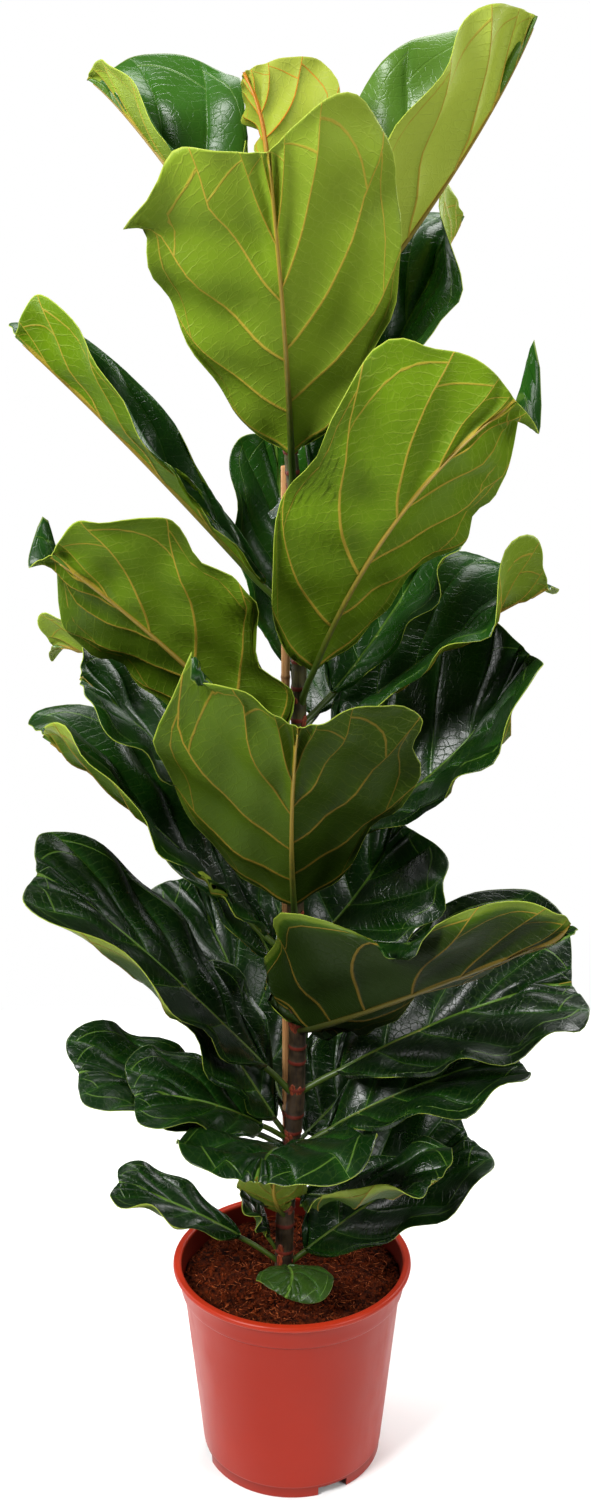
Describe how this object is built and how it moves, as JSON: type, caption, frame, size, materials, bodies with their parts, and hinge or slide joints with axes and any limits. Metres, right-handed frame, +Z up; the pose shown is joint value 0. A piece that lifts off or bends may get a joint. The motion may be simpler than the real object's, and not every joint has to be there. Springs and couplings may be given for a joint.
{
  "type": "potted fiddle leaf fig",
  "caption": "Tall single-stem houseplant with large waved, leathery, fiddle-shaped leaves, standing in a tapered terracotta-coloured plastic nursery pot filled with potting mix.",
  "frame": {"origin": "on the floor under the centre of the pot", "axes": "+Z up along the stem, +X to the right and -Y towards the front that the picture shows"},
  "size_m": [0.4603, 0.4056, 1.2156],
  "materials": {
    "pot": "satin terracotta-red moulded plastic",
    "soil": "loose brown coir potting mix with pale fibres",
    "bark": "green-brown bark with red-brown scars",
    "cane": "dry tan cane",
    "clip": "clear moulded plastic",
    "leaf": "glossy dark green upper side with pale veins, lighter olive-green underside",
    "young_leaf": "soft glossy yellow-green with an orange midrib"
  },
  "bodies": {
    "root": {"pot": "pot", "soil": "soil", "trunk": "bark", "cane": "cane", "clip": "clip", "leaf_01": "young_leaf", "leaf_02": "leaf", "leaf_03": "leaf", "leaf_04": "leaf", "leaf_05": "leaf", "leaf_06": "leaf", "leaf_07": "leaf", "leaf_08": "leaf", "leaf_09": "leaf", "leaf_10": "leaf", "leaf_11": "leaf", "leaf_12": "leaf", "leaf_13": "leaf", "leaf_14": "leaf", "leaf_15": "leaf", "leaf_16": "leaf", "leaf_17": "leaf", "leaf_18": "leaf", "leaf_19": "leaf", "leaf_20": "leaf", "leaf_21": "leaf", "leaf_22": "leaf", "leaf_23": "leaf", "leaf_24": "leaf", "leaf_25": "leaf", "leaf_26": "leaf", "leaf_27": "leaf", "leaf_28": "leaf", "leaf_29": "leaf", "leaf_30": "leaf", "leaf_31": "leaf", "leaf_32": "leaf", "leaf_33": "leaf", "leaf_34": "leaf", "leaf_35": "leaf", "leaf_36": "leaf"}
  },
  "joints": []
}
